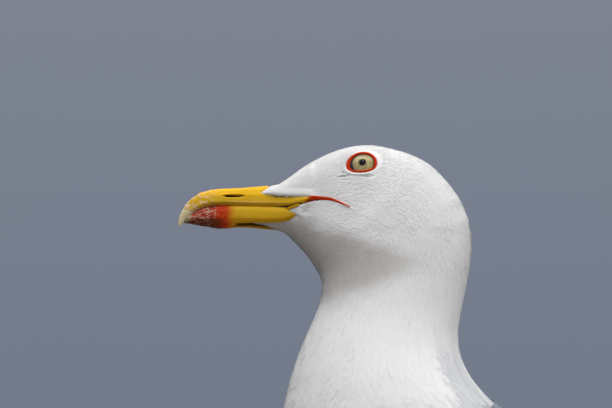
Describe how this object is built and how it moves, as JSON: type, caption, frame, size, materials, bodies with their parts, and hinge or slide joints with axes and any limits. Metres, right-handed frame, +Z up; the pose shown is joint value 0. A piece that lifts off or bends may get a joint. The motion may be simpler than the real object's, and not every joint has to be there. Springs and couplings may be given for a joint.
{
  "type": "standing seagull",
  "caption": "Life-size yellow-legged gull standing alert with folded wings, hooked yellow bill, red-ringed pale eyes and webbed feet.",
  "frame": {"origin": "on the floor, under the middle of the bird's length from bill tip to wing tips, in its middle plane", "axes": "+Y from the bill towards the tail, +Z up, +X the gull's left side"},
  "size_m": [0.138, 0.5417, 0.4018],
  "materials": {
    "white_plumage": "soft white body feathers",
    "grey_plumage": "soft mid-grey wing and back feathers",
    "black_quills": "black flight feathers",
    "yellow_horn": "smooth horn of the bill, slightly worn",
    "yellow_leg_skin": "scaled bare skin of legs and feet",
    "red_skin": "bare skin of the eye ring and mouth corner",
    "pale_eye": "wet, glossy eye",
    "dark_claw": "dark horn of the claws"
  },
  "bodies": {
    "root": {"head": "white_plumage", "neck": "white_plumage", "trunk": "white_plumage", "tail": "white_plumage", "upper_bill": "yellow_horn", "lower_bill": "yellow_horn", "eye_L": "pale_eye", "eyelid_L": "red_skin", "gape_L": "red_skin", "wing_coverts_L": "grey_plumage", "wing_tertials_L": "grey_plumage", "wing_primaries_L": "black_quills", "thigh_L": "white_plumage", "shank_L": "yellow_leg_skin", "foot_L": "yellow_leg_skin", "claw_inner_L": "dark_claw", "claw_middle_L": "dark_claw", "claw_outer_L": "dark_claw", "claw_hind_L": "dark_claw", "eye_R": "pale_eye", "eyelid_R": "red_skin", "gape_R": "red_skin", "wing_coverts_R": "grey_plumage", "wing_tertials_R": "grey_plumage", "wing_primaries_R": "black_quills", "thigh_R": "white_plumage", "shank_R": "yellow_leg_skin", "foot_R": "yellow_leg_skin", "claw_inner_R": "dark_claw", "claw_middle_R": "dark_claw", "claw_outer_R": "dark_claw", "claw_hind_R": "dark_claw"}
  },
  "joints": []
}
